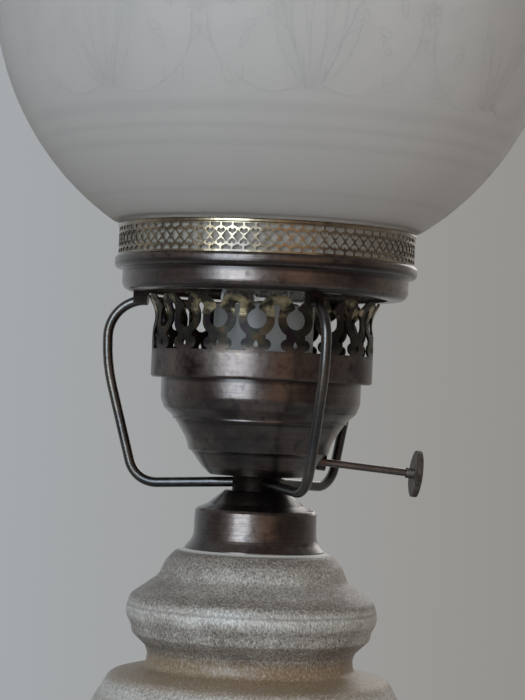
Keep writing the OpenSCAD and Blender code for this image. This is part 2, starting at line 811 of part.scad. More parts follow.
module switch_rotor() color("black") along_key(rotor_s) difference() {
    cylinder(r = rotor_r, h = rotor_l);
    at(-1) cylinder(d = key_d, h = rotor_l + 2);
}

module key_shaft() color("sienna") {
    along_key(rotor_s) cylinder(d = key_d, h = knob_reach - rotor_s);
    along_key(knob_reach) cylinder(d = pin_d, h = knob_t + pin_proud);
}

module key_knob() color("sienna") along_key(knob_reach) difference() {
    union() {
        linear_extrude(knob_t) difference() {
            circle(d = knob_d);
            for (i = [0:knob_teeth - 1]) rotate(i * 360 / knob_teeth)
                translate([knob_d / 2 + 0.15, 0]) circle(0.42, $fn = 12);
        }
        at(-knob_hub_l) cylinder(d = key_d + 1, h = knob_hub_l);
    }
    at(-knob_hub_l - 1) cylinder(d = key_d, h = knob_hub_l + 1);
    at(-1) cylinder(d = pin_d, h = knob_t + 2);
}

// Bulb

module bulb_contact() color("silver") at(bulb_z) spin([[0, 0], [3.6, 0], [4.6, 1], [0, 1]]);

module bulb_insulator() color("black") at(bulb_z) spin([
    [0, 1], [4.6, 1], [cap_bore_r - 0.4, cap_z], [cap_bore_r, cap_z],
    [cap_bore_r, cap_z + 2.4], [0, cap_z + 2.4]
]);

thread_depth = 1;
function thread_line() = [for (z = [0:cap_pitch / 8:cap_h - 3])
    [(cap_d - thread_depth - thread_depth * cos(360 * z / cap_pitch)) / 2, cap_z + z]];

module bulb_cap() color("silver") at(bulb_z) spin(concat(thread_line(), [
    [cap_d / 2, cap_z + cap_h - 2.4],
    [cap_d / 2 + 0.1, cap_z + cap_h],
    [cap_bore_r, cap_z + cap_h],
    [cap_bore_r, cap_z]
]));

function bulb_line() = concat(
    rounded([
        [cap_bore_r, cap_z + cap_h - 6, 0],
        [cap_bore_r, cap_z + cap_h + 0.4, 1.2],
        [neck_d / 2 - 0.6, cap_z + cap_h + 4.4, 3],
        [neck_d / 2 + 0.6, cap_z + cap_h + 14, 25],
        [neck_d / 2 + 3.4, cap_z + cap_h + 23, 25],
        flat(bulb_start)
    ]),
    arc([0, bulb_centre], bulb_d / 2, bulb_from + 6, 90, 20)
);
bulb_from = -42;
bulb_start = [0, bulb_centre] + bulb_d / 2 * [cos(bulb_from), sin(bulb_from)];

module bulb_glass() color([0.85, 0.9, 0.95, 0.5]) at(bulb_z) spin(wall(bulb_line(), 0.8));

module bulb_stem() color("lightblue") at(bulb_z) spin(rounded([
    [0, cap_z + cap_h - 6, 0],
    [cap_bore_r - 1, cap_z + cap_h - 6, 0],
    [cap_bore_r - 1, cap_z + cap_h - 4.6, 1],
    [4, cap_z + cap_h + 6, 8],
    [2.6, stem_h, 1],
    [0, stem_h, 0]
]));

module bulb_leads() color("gray") at(bulb_z + stem_h - 4) for (s = [-1, 1])
    translate([s * 3.2, 0, 0]) rotate([0, s * atan2(lead_x - 3.2, bulb_centre - stem_h + 4), 0])
        cylinder(d = 0.8, h = norm([lead_x - 3.2, bulb_centre - stem_h + 4]), $fn = 16);

module bulb_filament() color("gray") at(bulb_z + bulb_centre) translate([-lead_x + 0.4, 0, 0.4])
    rotate([0, 90, 0]) cylinder(d = 0.8, h = 2 * lead_x - 0.8, $fn = 16);

// Globe

function globe_line() = concat(
    rounded([
        [fitter_r, seat_z, 0],
        [fitter_r, fitter_top_z, 1.6],
        [globe_low_r, fitter_top_z, 3.2],
        flat(globe_start)
    ]),
    arc([0, globe_z], globe_r, globe_from + 3, acos(mouth_d / globe_d), 44)
);
globe_from = asin((fitter_top_z - globe_z) / globe_r) + 2.4;
globe_start = [0, globe_z] + globe_r * [cos(globe_from), sin(globe_from)];

module glass_globe() color([0.9, 0.93, 0.93, 0.6]) spin(wall(globe_line(), globe_wall));

felt_ring();
base_plate();
base_washer();
base_nut();
threaded_tube();
ceramic_body();
cord_grommet();
neck_washer();
collar();
arm_hub();
arm_left();
arm_front();
arm_back();
ring_lugs();
shade_ring();
gallery_strip();
burner_bowl();
burner_crown();
bowl_nut();
holder_cup();
holder_skirt();
holder_insulator();
thread_shell();
centre_contact();
terminal_screws();
switch_block();
switch_contacts();
switch_bush();
switch_rotor();
key_shaft();
key_knob();
bulb_contact();
bulb_insulator();
bulb_cap();
bulb_glass();
bulb_stem();
bulb_leads();
bulb_filament();
glass_globe();
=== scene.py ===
import json
import math

import bmesh
import bpy
from mathutils import Matrix, Vector


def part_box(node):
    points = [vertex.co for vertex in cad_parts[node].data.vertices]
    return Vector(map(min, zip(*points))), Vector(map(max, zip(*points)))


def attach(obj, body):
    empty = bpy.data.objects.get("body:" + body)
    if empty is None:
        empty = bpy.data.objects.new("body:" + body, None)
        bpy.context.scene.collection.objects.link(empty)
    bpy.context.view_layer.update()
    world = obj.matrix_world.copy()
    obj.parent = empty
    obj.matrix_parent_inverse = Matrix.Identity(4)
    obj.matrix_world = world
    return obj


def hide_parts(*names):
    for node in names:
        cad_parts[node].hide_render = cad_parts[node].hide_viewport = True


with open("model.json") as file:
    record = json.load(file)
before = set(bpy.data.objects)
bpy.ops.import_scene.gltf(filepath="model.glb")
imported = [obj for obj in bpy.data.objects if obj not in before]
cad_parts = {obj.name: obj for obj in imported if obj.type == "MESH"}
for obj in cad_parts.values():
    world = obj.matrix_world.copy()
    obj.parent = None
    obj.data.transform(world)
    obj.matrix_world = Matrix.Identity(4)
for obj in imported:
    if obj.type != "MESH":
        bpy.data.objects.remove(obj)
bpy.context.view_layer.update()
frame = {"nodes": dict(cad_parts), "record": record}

mm = 0.001
scene = bpy.context.scene
scene.view_settings.view_transform = "Standard"
cad = frame["nodes"]


def low(node):
    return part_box(node)[0].z / mm


def high(node):
    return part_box(node)[1].z / mm


# Camera, lamps, floor
print("camera and studio")

camera = {
    "photoHeight": 700,                # pixels
    "focalLength": 2217,               # pixels
    "distance": 0.77,
    "eyeLevel": 0.235,
    "centreAboveEye": 50,              # pixels
    "roll": math.radians(2.4),
    "sensor": 36,
}


def makeCamera():
    data = bpy.data.cameras.new("camera")
    data.sensor_width = camera["sensor"]
    data.lens = camera["focalLength"] / camera["photoHeight"] * camera["sensor"]
    data.clip_start = 0.05
    made = bpy.data.objects.new("camera", data)
    pitch = math.atan(camera["centreAboveEye"] / camera["focalLength"])
    place = Matrix.Translation((0, -camera["distance"], camera["eyeLevel"]))
    turn = Matrix.Rotation(math.radians(90) + pitch, 4, "X") @ Matrix.Rotation(camera["roll"], 4, "Z")
    made.matrix_world = place @ turn
    scene.collection.objects.link(made)
    scene.camera = made


makeCamera()


def addNode(tree, kind, inputs=None, **settings):
    made = tree.nodes.new(kind)
    for key, value in settings.items():
        setattr(made, key, value)
    for key, value in (inputs or {}).items():
        if isinstance(value, bpy.types.NodeSocket):
            tree.links.new(value, made.inputs[key])
        else:
            made.inputs[key].default_value = value
    return made


def math3(tree, operation, first, second=None, third=None):
    inputs = {i: v for i, v in enumerate((first, second, third)) if v is not None}
    return addNode(tree, "ShaderNodeMath", inputs, operation=operation).outputs[0]


def mapped(tree, value, fromLow, fromHigh, toLow, toHigh):
    return addNode(tree, "ShaderNodeMapRange", {
        "Value": value, "From Min": fromLow, "From Max": fromHigh, "To Min": toLow, "To Max": toHigh}).outputs[0]


def mixed(tree, factor, first, second, blend="MIX"):
    made = addNode(tree, "ShaderNodeMix", {"Factor": factor}, data_type="RGBA", blend_type=blend)
    for socket, value in ((6, first), (7, second)):
        if isinstance(value, bpy.types.NodeSocket):
            tree.links.new(value, made.inputs[socket])
        else:
            made.inputs[socket].default_value = (*value, 1)
    return made.outputs[2]


studio = {
    "window": {"turn": -26, "away": 1.5, "height": 0.58, "size": (0.76, 1.1), "power": 22,
               "colour": (0.74, 0.88, 1.0)},
    "warmBounce": {"turn": 70, "away": 1.3, "height": 0.30, "size": (0.8, 0.9), "power": 4.4, "colour": (0.95, 1.0, 1.0),
                   "mirrored": False},
    "warmStripe": {"turn": 22, "away": 1.4, "height": 0.25, "size": (0.8, 0.8), "power": 0.85, "colour": (1.0, 0.62, 0.36)},
    "backLight": {"turn": 160, "away": 1.6, "height": 0.9, "size": (1.0, 1.0), "power": 4, "colour": (1.0, 0.98, 0.95)},
    "ambientAbove": (0.33, 0.325, 0.32),
    "ambientBelow": (0.08, 0.078, 0.076),
    "room": (0.17, 0.14, 0.125),       # what polished parts mirror from the camera's side
    "backdropLeft": (0.375, 0.395, 0.41),
    "backdropRight": (0.300, 0.287, 0.266),
    "floor": (0.42, 0.41, 0.40),
    "floorFade": (0.42, 0.80),         # metres from the lamp where the floor starts and ends melting away
    "aim": 0.27,
}


def makeLamp(name, turn, away, height, size, power, colour, mirrored=True):
    data = bpy.data.lights.new(name, "AREA")
    data.shape = "RECTANGLE"
    data.size, data.size_y = size
    data.energy = power
    data.color = colour
    made = bpy.data.objects.new(name, data)
    angle = math.radians(turn)
    made.location = (math.sin(angle) * away, -math.cos(angle) * away, height)
    towards = Vector((0, 0, studio["aim"])) - made.location
    made.rotation_euler = towards.to_track_quat("-Z", "Y").to_euler()
    made.visible_glossy = mirrored
    scene.collection.objects.link(made)


for lampName in ("window", "warmBounce", "warmStripe", "backLight"):
    makeLamp(lampName, **studio[lampName])


def makeWorld():
    world = bpy.data.worlds.new("studio")
    world.use_nodes = True
    scene.world = world
    tree = world.node_tree
    tree.nodes.clear()
    rays = addNode(tree, "ShaderNodeLightPath").outputs
    seen = math3(tree, "MAXIMUM", rays["Is Camera Ray"], rays["Is Transmission Ray"])
    spot = addNode(tree, "ShaderNodeTexCoord").outputs["Generated"]
    direction = addNode(tree, "ShaderNodeSeparateXYZ", {0: spot}).outputs

    def blend(axis, reach, first, second):
        share = mapped(tree, direction[axis], -reach, reach, 0, 1)
        return mixed(tree, share, studio[first], second)

    backdrop = blend("X", 0.12, "backdropLeft", studio["backdropRight"])
    ambient = blend("Z", 0.7, "ambientBelow", studio["ambientAbove"])
    mirrored = blend("Y", 0.35, "room", backdrop)
    colour = mixed(tree, rays["Is Glossy Ray"], ambient, mirrored)
    colour = mixed(tree, seen, colour, backdrop)
    shown = addNode(tree, "ShaderNodeBackground", {"Color": colour})
    addNode(tree, "ShaderNodeOutputWorld", {"Surface": shown.outputs[0]})


makeWorld()


def newMaterial(name):
    made = bpy.data.materials.new(name)
    made.use_nodes = True
    tree = made.node_tree
    shader = tree.nodes["Principled BSDF"]
    return made, tree, shader


def makeFloor():
    mesh = bpy.data.meshes.new("floor")
    form = bmesh.new()
    bmesh.ops.create_circle(form, cap_ends=True, segments=96, radius=studio["floorFade"][1])
    form.to_mesh(mesh)
    form.free()
    made = bpy.data.objects.new("floor", mesh)
    scene.collection.objects.link(made)
    material, tree, shader = newMaterial("paleFloor")
    shader.inputs["Base Color"].default_value = (*studio["floor"], 1)
    shader.inputs["Roughness"].default_value = 0.8
    distance = addNode(tree, "ShaderNodeVectorMath", {0: addNode(tree, "ShaderNodeTexCoord").outputs["Object"]}, operation="LENGTH")
    start, end = studio["floorFade"]
    fade = addNode(tree, "ShaderNodeMapRange", {"Value": distance.outputs["Value"], "From Min": start, "From Max": end,
                                                "To Min": 1, "To Max": 0}, interpolation_type="SMOOTHSTEP")
    tree.links.new(fade.outputs[0], shader.inputs["Alpha"])
    mesh.materials.append(material)


makeFloor()


# Shared finishes
print("finishes")


def pattern(tree, scale, detail=3, stretch=(1, 1, 1), roughness=0.5, kind="ShaderNodeTexNoise"):
    spot = addNode(tree, "ShaderNodeTexCoord").outputs["Object"]
    placed = addNode(tree, "ShaderNodeMapping", {"Vector": spot, "Scale": stretch})
    inputs = {"Vector": placed.outputs[0], "Scale": scale}
    if kind == "ShaderNodeTexNoise":
        inputs.update({"Detail": detail, "Roughness": roughness})
    return addNode(tree, kind, inputs).outputs[0]


def ramp(tree, factor, *stops):
    made = addNode(tree, "ShaderNodeValToRGB", {"Fac": factor})
    elements = made.color_ramp.elements
    for element, (place, colour) in zip(elements, (stops[0], stops[-1])):
        element.position = place
        element.color = (*colour, 1)
    for place, colour in stops[1:-1]:
        elements.new(place).color = (*colour, 1)
    return made.outputs[0]


def bumped(tree, shader, height, distance, strength=1):
    bump = addNode(tree, "ShaderNodeBump", {"Height": height, "Distance": distance, "Strength": strength})
    tree.links.new(bump.outputs[0], shader.inputs["Normal"])


def heightOf(tree):
    spot = addNode(tree, "ShaderNodeTexCoord").outputs["Object"]
    return addNode(tree, "ShaderNodeSeparateXYZ", {0: spot}).outputs["Z"]


def setShader(shader, **values):
    for key, value in values.items():
        shader.inputs[key.replace("_", " ")].default_value = value


def heightBands(tree, bands):
    # 1 at each band's height, falling to 0 at its half width, both in millimetres
    mask = None
    for z, half in bands:
        off = math3(tree, "ABSOLUTE", math3(tree, "SUBTRACT", heightOf(tree), z * mm))
        band = mapped(tree, off, half * mm * 0.4, half * mm, 1, 0)
        mask = band if mask is None else math3(tree, "MAXIMUM", mask, band)
    return mask


def bronzeMaterial(name, dark, brown, warm, smooth=0.30, rough=0.40, patch=55, coat=0.9, shadedRecesses=()):
    material, tree, shader = newMaterial(name)
    patches = pattern(tree, patch, detail=5, roughness=0.6)
    mottle = pattern(tree, 520, detail=3, roughness=0.6)
    blots = pattern(tree, 260, detail=2)
    spun = pattern(tree, 30, detail=2, stretch=(1, 1, 90))
    streaked = math3(tree, "MULTIPLY_ADD", spun, 0.22, math3(tree, "SUBTRACT", patches, 0.11))
    colour = ramp(tree, streaked, (0.34, dark), (0.47, brown), (0.64, warm))
    colour = mixed(tree, mapped(tree, mottle, 0.42, 0.72, 0, 0.35), colour, dark)
    colour = mixed(tree, mapped(tree, blots, 0.60, 0.70, 0, 0.75), colour, dark)
    if shadedRecesses:
        # painted shade: darkens the metal in grooves and under ledges at the listed heights, partly patina in the
        # hollows
        colour = mixed(tree, math3(tree, "MULTIPLY", heightBands(tree, shadedRecesses), 0.85), colour, (0.012, 0.007, 0.006))
    tree.links.new(colour, shader.inputs["Base Color"])
    worn = math3(tree, "MULTIPLY", patches, mottle)
    tree.links.new(mapped(tree, worn, 0.15, 0.4, smooth, rough), shader.inputs["Roughness"])
    bumped(tree, shader, math3(tree, "ADD", mottle, spun), 0.00006)
    setShader(shader, Metallic=1.0, Coat_Weight=coat, Coat_Roughness=0.25)
    return material


def plainMaterial(name, colour, second, roughness, metallic=0, scale=300, bump=0.00003, **extra):
    material, tree, shader = newMaterial(name)
    grain = pattern(tree, scale, detail=4)
    tree.links.new(ramp(tree, grain, (0.35, colour), (0.68, second)), shader.inputs["Base Color"])
    tree.links.new(mapped(tree, grain, 0.3, 0.7, roughness - 0.06, roughness + 0.08), shader.inputs["Roughness"])
    bumped(tree, shader, grain, bump)
    setShader(shader, Metallic=metallic, **extra)
    return material


# heights and half widths in millimetres of painted shade in grooves and under ledges, partly patina
shadeAndPatinaBands = [(278.1, 1.3), (280.0, 0.9), (241.3, 1.3), (226.7, 0.8), (216.1, 0.7), (209.6, 0.9), (271.9, 0.7)]
bronze = bronzeMaterial("antiqueBronze", (0.026, 0.019, 0.018), (0.076, 0.057, 0.051), (0.135, 0.102, 0.086),
                        shadedRecesses=shadeAndPatinaBands)
armBronze = bronzeMaterial("wireBronze", (0.020, 0.019, 0.021), (0.045, 0.042, 0.042), (0.085, 0.072, 0.056), patch=40)
# painted shade: a darker copy of the bronze for the arm hub and ring lugs, which sit in shade
shadedLugBronze = bronzeMaterial("shadedLugBronze", (0.006, 0.004, 0.004), (0.014, 0.010, 0.009), (0.030, 0.022, 0.018), 0.5, 0.62, coat=0.0)
shaftBronze = bronzeMaterial("shaftBronze", (0.055, 0.050, 0.053), (0.12, 0.108, 0.110), (0.20, 0.165, 0.155), patch=70)
steel = plainMaterial("zincSteel", (0.50, 0.50, 0.49), (0.62, 0.61, 0.58), 0.32, 1)
contactBrass = plainMaterial("contactBrass", (0.62, 0.45, 0.18), (0.72, 0.55, 0.26), 0.28, 1)
darkPlastic = plainMaterial("darkPlastic", (0.018, 0.015, 0.013), (0.03, 0.026, 0.022), 0.42)
rubber = plainMaterial("rubber", (0.015, 0.015, 0.015), (0.03, 0.03, 0.03), 0.7)
porcelain = plainMaterial("porcelain", (0.72, 0.71, 0.66), (0.78, 0.77, 0.73), 0.22, Coat_Weight=0.5)
washerPlastic = plainMaterial("whiteWasher", (0.66, 0.65, 0.60), (0.72, 0.71, 0.67), 0.5)
holderGrey = plainMaterial("holderGrey", (0.33, 0.325, 0.31), (0.40, 0.395, 0.38), 0.40, scale=160)
capMetal = plainMaterial("capMetal", (0.66, 0.66, 0.67), (0.78, 0.78, 0.78), 0.25, 1, scale=200)
solder = plainMaterial("solder", (0.50, 0.50, 0.51), (0.64, 0.64, 0.64), 0.38, 1, scale=700, bump=0.0001)
blackGlass = plainMaterial("blackGlass", (0.010, 0.010, 0.014), (0.02, 0.02, 0.028), 0.12)
leadWire = plainMaterial("leadWire", (0.36, 0.34, 0.31), (0.50, 0.48, 0.44), 0.35, 1)
tungsten = plainMaterial("tungsten", (0.10, 0.10, 0.11), (0.2, 0.2, 0.2), 0.45, 1)


def feltMaterial():
    material, tree, shader = newMaterial("felt")
    fibres = pattern(tree, 1500, detail=5, roughness=0.7)
    tree.links.new(ramp(tree, fibres, (0.3, (0.020, 0.040, 0.022)), (0.7, (0.075, 0.115, 0.070))), shader.inputs["Base Color"])
    bumped(tree, shader, fibres, 0.0006)
    setShader(shader, Roughness=0.95, Sheen_Weight=0.4)
    return material


def glassMaterial():
    material, tree, shader = newMaterial("clearGlass")
    waves = pattern(tree, 25, detail=1)
    bumped(tree, shader, waves, 0.0002, 0.4)
    tree.links.new(ramp(tree, waves, (0.3, (0.93, 0.96, 0.96)), (0.7, (0.98, 0.99, 0.99))), shader.inputs["Base Color"])
    setShader(shader, Roughness=0.03, Transmission_Weight=1.0, IOR=1.08, Coat_Weight=1.0, Coat_Roughness=0.05)
    return material


felt = feltMaterial()
clearGlass = glassMaterial()

glazeLook = {
    "light": (0.51, 0.485, 0.445),
    "mid": (0.29, 0.258, 0.222),
    "dark": (0.085, 0.063, 0.050),
    "gold": (0.18, 0.100, 0.032),
    "goldBand": ((143.0, 6.5),),       # millimetres up, half width
    # painted shade along the groove above the bead, in millimetres up and half width
    "shadedGroove": ((163.2, 0.7),),
    "rimLine": 0.9,                    # bare clay under the collar
    "speckleScale": 1500,
    "streak": (1, 1, 0.6),             # specks stretched along the height
    # height in millimetres under the rim, and how dark and brown the glaze is there: partly glaze colour, partly
    # painted shade under the collar rim and a painted lighter band on the bead's top
    "shadeAndBrownness": ((0, 1.0), (4, 0.7), (9, 0.75), (16, 1.0), (20, 0.10), (25, 0.55), (30, 0.80), (36, 1.0), (43, 0.6),
                  (47, 0.2), (90, 0.2), (135, 0.4), (148, 0.8), (158, 0.4), (181, 0.3)),
}


def glazeMaterial():
    look = glazeLook
    material, tree, shader = newMaterial("speckledGlaze")
    rim, foot = high("ceramic_body"), low("ceramic_body")
    specks = pattern(tree, look["speckleScale"], detail=5, stretch=look["streak"], roughness=0.75)
    wiped = pattern(tree, 14, detail=3, stretch=(1, 1, 22))
    clouds = pattern(tree, 95, detail=4, stretch=(1, 1, 0.7))
    place = mapped(tree, heightOf(tree), foot * mm, rim * mm, 0, 1)
    wander = addNode(tree, "ShaderNodeMath", {0: clouds, 1: 0.03, 2: place}, operation="MULTIPLY_ADD").outputs[0]
    stops = [(1 - depth / (rim - foot) + 0.015, (grey, grey, grey)) for depth, grey in reversed(look["shadeAndBrownness"])]
    # darkness by height: glaze colour with painted shade under the collar and painted light on the bead's top
    brown = ramp(tree, wander, *stops)
    shifted = addNode(tree, "ShaderNodeMath", {0: clouds, 1: 0.16, 2: specks}, operation="MULTIPLY_ADD").outputs[0]
    shifted = addNode(tree, "ShaderNodeMath", {0: brown, 1: -0.19, 2: shifted}, operation="MULTIPLY_ADD").outputs[0]
    shifted = math3(tree, "MULTIPLY_ADD", wiped, 0.22, math3(tree, "SUBTRACT", shifted, 0.015))
    colour = ramp(tree, shifted, (0.42, look["dark"]), (0.60, look["mid"]), (0.76, look["light"]))
    golden = math3(tree, "MULTIPLY", heightBands(tree, look["goldBand"]), mapped(tree, specks, 0.35, 0.65, 0.9, 0.35))
    colour = mixed(tree, golden, colour, look["gold"])
    # painted shade: a darker line in the groove above the bead
    colour = mixed(tree, math3(tree, "MULTIPLY", heightBands(tree, look["shadedGroove"]), 0.45), colour, look["dark"])
    colour = mixed(tree, heightBands(tree, ((rim, look["rimLine"]),)), colour, (0.62, 0.59, 0.54))
    tree.links.new(colour, shader.inputs["Base Color"])
    tree.links.new(mapped(tree, specks, 0.3, 0.7, 0.58, 0.38), shader.inputs["Roughness"])
    bumped(tree, shader, specks, 0.00008)
    setShader(shader, Coat_Weight=0.4, Coat_Roughness=0.45)
    return material


glaze = glazeMaterial()

frostLook = {
    "colour": (0.74, 0.70, 0.668),
    # painted shade for the lower globe and the neck behind the gallery
    "shadedNeckColour": (0.56, 0.51, 0.45),
    "bands": ((326.3, 2.4), (320.7, 1.3), (315.6, 1.5), (302, 1.0)),     # etched lines: millimetres up, half width
    "bandDepth": 0.17,
    "clearness": 0.62,
}


def frostMaterial():
    look = frostLook
    material, tree, shader = newMaterial("frostedGlass")
    grain = pattern(tree, 1800, detail=2)
    cloud = pattern(tree, 18, detail=3)
    tone = ramp(tree, cloud, (0.3, tuple(c * 0.96 for c in look["colour"])), (0.7, look["colour"]))
    bands = math3(tree, "MULTIPLY", heightBands(tree, look["bands"]), look["bandDepth"])
    tone = mixed(tree, bands, tone, tuple(c * 0.6 for c in look["colour"]))
    # painted shade: the globe is tinted darker and warmer towards the bottom, and the neck behind the gallery takes
    # that shaded colour
    tone = mixed(tree, mapped(tree, heightOf(tree), 0.297, 0.335, 0.16, 0), tone, look["shadedNeckColour"])
    tone = mixed(tree, mapped(tree, heightOf(tree), 0.291, 0.297, 1, 0), tone, look["shadedNeckColour"])
    tree.links.new(tone, shader.inputs["Base Color"])
    bumped(tree, shader, grain, 0.00002)
    setShader(shader, Roughness=0.6, Transmission_Weight=look["clearness"], IOR=1.45)
    return material


frosted = frostMaterial()

brassLook = {
    "bright": (0.33, 0.265, 0.165),
    "dull": (0.075, 0.056, 0.042),
}


def galleryMaterial(name, dull, bright, roughness):
    material, tree, shader = newMaterial(name)
    tarnish = pattern(tree, 60, detail=4, roughness=0.6)
    pits = pattern(tree, 700, detail=2)
    colour = ramp(tree, tarnish, (0.36, dull), (0.58, bright))
    colour = mixed(tree, mapped(tree, pits, 0.5, 0.75, 0, 0.4), colour, dull)
    tree.links.new(colour, shader.inputs["Base Color"])
    tree.links.new(mapped(tree, tarnish, 0.3, 0.7, roughness + 0.1, roughness - 0.06), shader.inputs["Roughness"])
    bumped(tree, shader, pits, 0.00004)
    setShader(shader, Metallic=1.0, Coat_Weight=1.0, Coat_Roughness=0.18)
    return material


galleryBrass = galleryMaterial("rubbedBrass", brassLook["dull"], brassLook["bright"], 0.3)


def crownMaterial():
    material, tree, shader = newMaterial("rubbedCrown")
    patches = pattern(tree, 70, detail=5, roughness=0.6)
    mottle = pattern(tree, 600, detail=3)
    base, tip = low("burner_crown") * mm, high("burner_crown") * mm
    rise = mapped(tree, heightOf(tree), base, tip, 0, 1)
    blotches = pattern(tree, 190, detail=3)
    dark = ramp(tree, patches, (0.36, (0.045, 0.033, 0.033)), (0.46, (0.115, 0.094, 0.088)), (0.54, (0.125, 0.105, 0.097)),
                (0.66, (0.18, 0.145, 0.125)))
    tinted = ramp(tree, blotches, (0.38, (0.014, 0.008, 0.012)), (0.50, (0.018, 0.020, 0.014)), (0.62, (0.050, 0.034, 0.020)))
    openwork = mapped(tree, rise, 0.30, 0.42, 0, 1)
    colour = mixed(tree, math3(tree, "MULTIPLY", openwork, 0.95), dark, tinted)
    # gold on the crests: rubbed brass, partly a painted highlight where the crests catch the light
    rubbedGoldAndGlint = math3(tree, "MULTIPLY", heightBands(tree, ((266.3, 4.0),)), mapped(tree, blotches, 0.47, 0.62, 0.05, 0.95))
    colour = mixed(tree, rubbedGoldAndGlint, colour, (0.46, 0.385, 0.235))
    colour = mixed(tree, mapped(tree, mottle, 0.50, 0.74, 0, 0.45), colour, (0.02, 0.012, 0.010))
    tree.links.new(colour, shader.inputs["Base Color"])
    coarse = math3(tree, "SUBTRACT", openwork, math3(tree, "MULTIPLY", rubbedGoldAndGlint, 0.8))
    polish = mapped(tree, patches, 0.3, 0.7, 0.26, 0.40)
    tree.links.new(math3(tree, "MULTIPLY_ADD", coarse, 0.24, polish), shader.inputs["Roughness"])
    dented = math3(tree, "MULTIPLY_ADD", blotches, math3(tree, "MULTIPLY", openwork, 8), mottle)
    bumped(tree, shader, dented, 0.00005)
    setShader(shader, Metallic=1.0, Coat_Weight=0.1, Coat_Roughness=0.3)
    return material


crownBronze = crownMaterial()

nodeFinish = {
    "felt_ring": felt, "base_plate": steel, "base_washer": steel, "base_nut": steel, "threaded_tube": steel,
    "ceramic_body": glaze, "cord_grommet": rubber, "neck_washer": washerPlastic, "collar": bronze, "arm_hub": shadedLugBronze,
    "arm_left": armBronze, "arm_front": armBronze, "arm_back": armBronze, "ring_lugs": shadedLugBronze, "shade_ring": bronze,
    "gallery_strip": galleryBrass, "burner_bowl": bronze, "burner_crown": crownBronze, "bowl_nut": steel,
    "holder_cup": holderGrey, "holder_skirt": holderGrey, "holder_insulator": porcelain, "thread_shell": contactBrass,
    "centre_contact": contactBrass, "terminal_screws": steel, "switch_block": darkPlastic, "switch_contacts": contactBrass,
    "switch_bush": bronze, "switch_rotor": darkPlastic, "key_shaft": shaftBronze, "key_knob": armBronze,
    "bulb_contact": solder, "bulb_insulator": blackGlass, "bulb_cap": capMetal, "bulb_glass": clearGlass,
    "bulb_stem": clearGlass, "bulb_leads": leadWire, "bulb_filament": tungsten, "glass_globe": frosted,
}
for nodeName, finish in nodeFinish.items():
    data = cad[nodeName].data
    data.materials.clear()
    data.materials.append(finish)
bodyOf = {n: body for body, members in frame["record"]["behaviour"]["bodies"].items() for n in members}


# Shared ways of making a piece


def rounded(points, step=math.radians(4)):
    line = []
    for i, (x, y, radius) in enumerate(points):
        here = Vector((x, y))
        if radius == 0 or i in (0, len(points) - 1):
            line.append(here)
            continue
        back = (Vector(points[i - 1][:2]) - here).normalized()
        onward = (Vector(points[i + 1][:2]) - here).normalized()
        half = back.angle(onward) / 2
        centre = here + (back + onward).normalized() * radius / math.sin(half)
        start = here + back * radius / math.tan(half) - centre
        cross = -back.x * onward.y + back.y * onward.x
        sweep = math.copysign(math.pi - 2 * half, cross)
        steps = max(1, math.ceil(abs(sweep) / step))
        line += [centre + Matrix.Rotation(sweep * k / steps, 2) @ start for k in range(steps + 1)]
    return line


def sideways(line, t):
    moved = []
    for i, here in enumerate(line):
        before = (here - line[max(i - 1, 0)]) if i > 0 else line[1] - line[0]
        after = (line[min(i + 1, len(line) - 1)] - here) if i < len(line) - 1 else here - line[i - 1]
        first = Vector((-before.y, before.x)).normalized()
        second = Vector((-after.y, after.x)).normalized()
        mean = (first + second).normalized()
        shifted = here + mean * t / mean.dot(first)
        moved.append(Vector((max(shifted.x, 0), shifted.y)))
    return moved


def arc(centreHeight, radius, start, end, steps):
    return [Vector((radius * math.cos(start + (end - start) * k / steps),
                    centreHeight + radius * math.sin(start + (end - start) * k / steps))) for k in range(steps + 1)]


def newPiece(name, mesh, material):
    made = bpy.data.objects.new(name, mesh)
    scene.collection.objects.link(made)
    mesh.materials.clear()
    mesh.materials.append(material)
    return made


def smooth(mesh, sharp=35):
    mesh.shade_smooth()
    mesh.set_sharp_from_angle(angle=math.radians(sharp))


def standFor(piece, *replaced):
    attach(piece, bodyOf[replaced[0]])
    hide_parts(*replaced)


def turnedMesh(name, outline, sides=192):
    form = bmesh.new()
    rings = []
    for point in outline:
        if point.x < 1e-6:
            rings.append([form.verts.new((0, 0, point.y * mm))])
            continue
        rings.append([form.verts.new((point.x * mm * math.cos(2 * math.pi * k / sides),
                                      point.x * mm * math.sin(2 * math.pi * k / sides), point.y * mm)) for k in range(sides)])
    closed = rings + rings[:1]
    for ring, following in zip(closed, closed[1:]):
        if len(ring) == 1 and len(following) == 1:
            continue
        for k in range(sides):
            j = (k + 1) % sides
            corners = [ring[k % len(ring)], ring[j % len(ring)], following[j % len(following)], following[k % len(following)]]
            form.faces.new(list(dict.fromkeys(corners)))
    bmesh.ops.recalc_face_normals(form, faces=form.faces)
    mesh = bpy.data.meshes.new(name)
    form.to_mesh(mesh)
    form.free()
    smooth(mesh)
    return mesh


def drill(piece, radius, start, end):
    start, end = Vector(start) * mm, Vector(end) * mm
    form = bmesh.new()
    bmesh.ops.create_cone(form, cap_ends=True, segments=48, radius1=radius * mm, radius2=radius * mm, depth=(end - start).length)
    turn = (end - start).to_track_quat("Z", "Y").to_matrix().to_4x4()
    bmesh.ops.transform(form, matrix=Matrix.Translation((start + end) / 2) @ turn, verts=form.verts)
    mesh = bpy.data.meshes.new("drill")
    form.to_mesh(mesh)
    form.free()
    tool = bpy.data.objects.new("drill", mesh)
    scene.collection.objects.link(tool)
    cut = piece.modifiers.new("hole", "BOOLEAN")
    cut.object = tool
    cut.solver = "EXACT"
    applied = evaluated(piece)
    piece.modifiers.clear()
    piece.data = applied
    smooth(piece.data)
    bpy.data.objects.remove(tool)


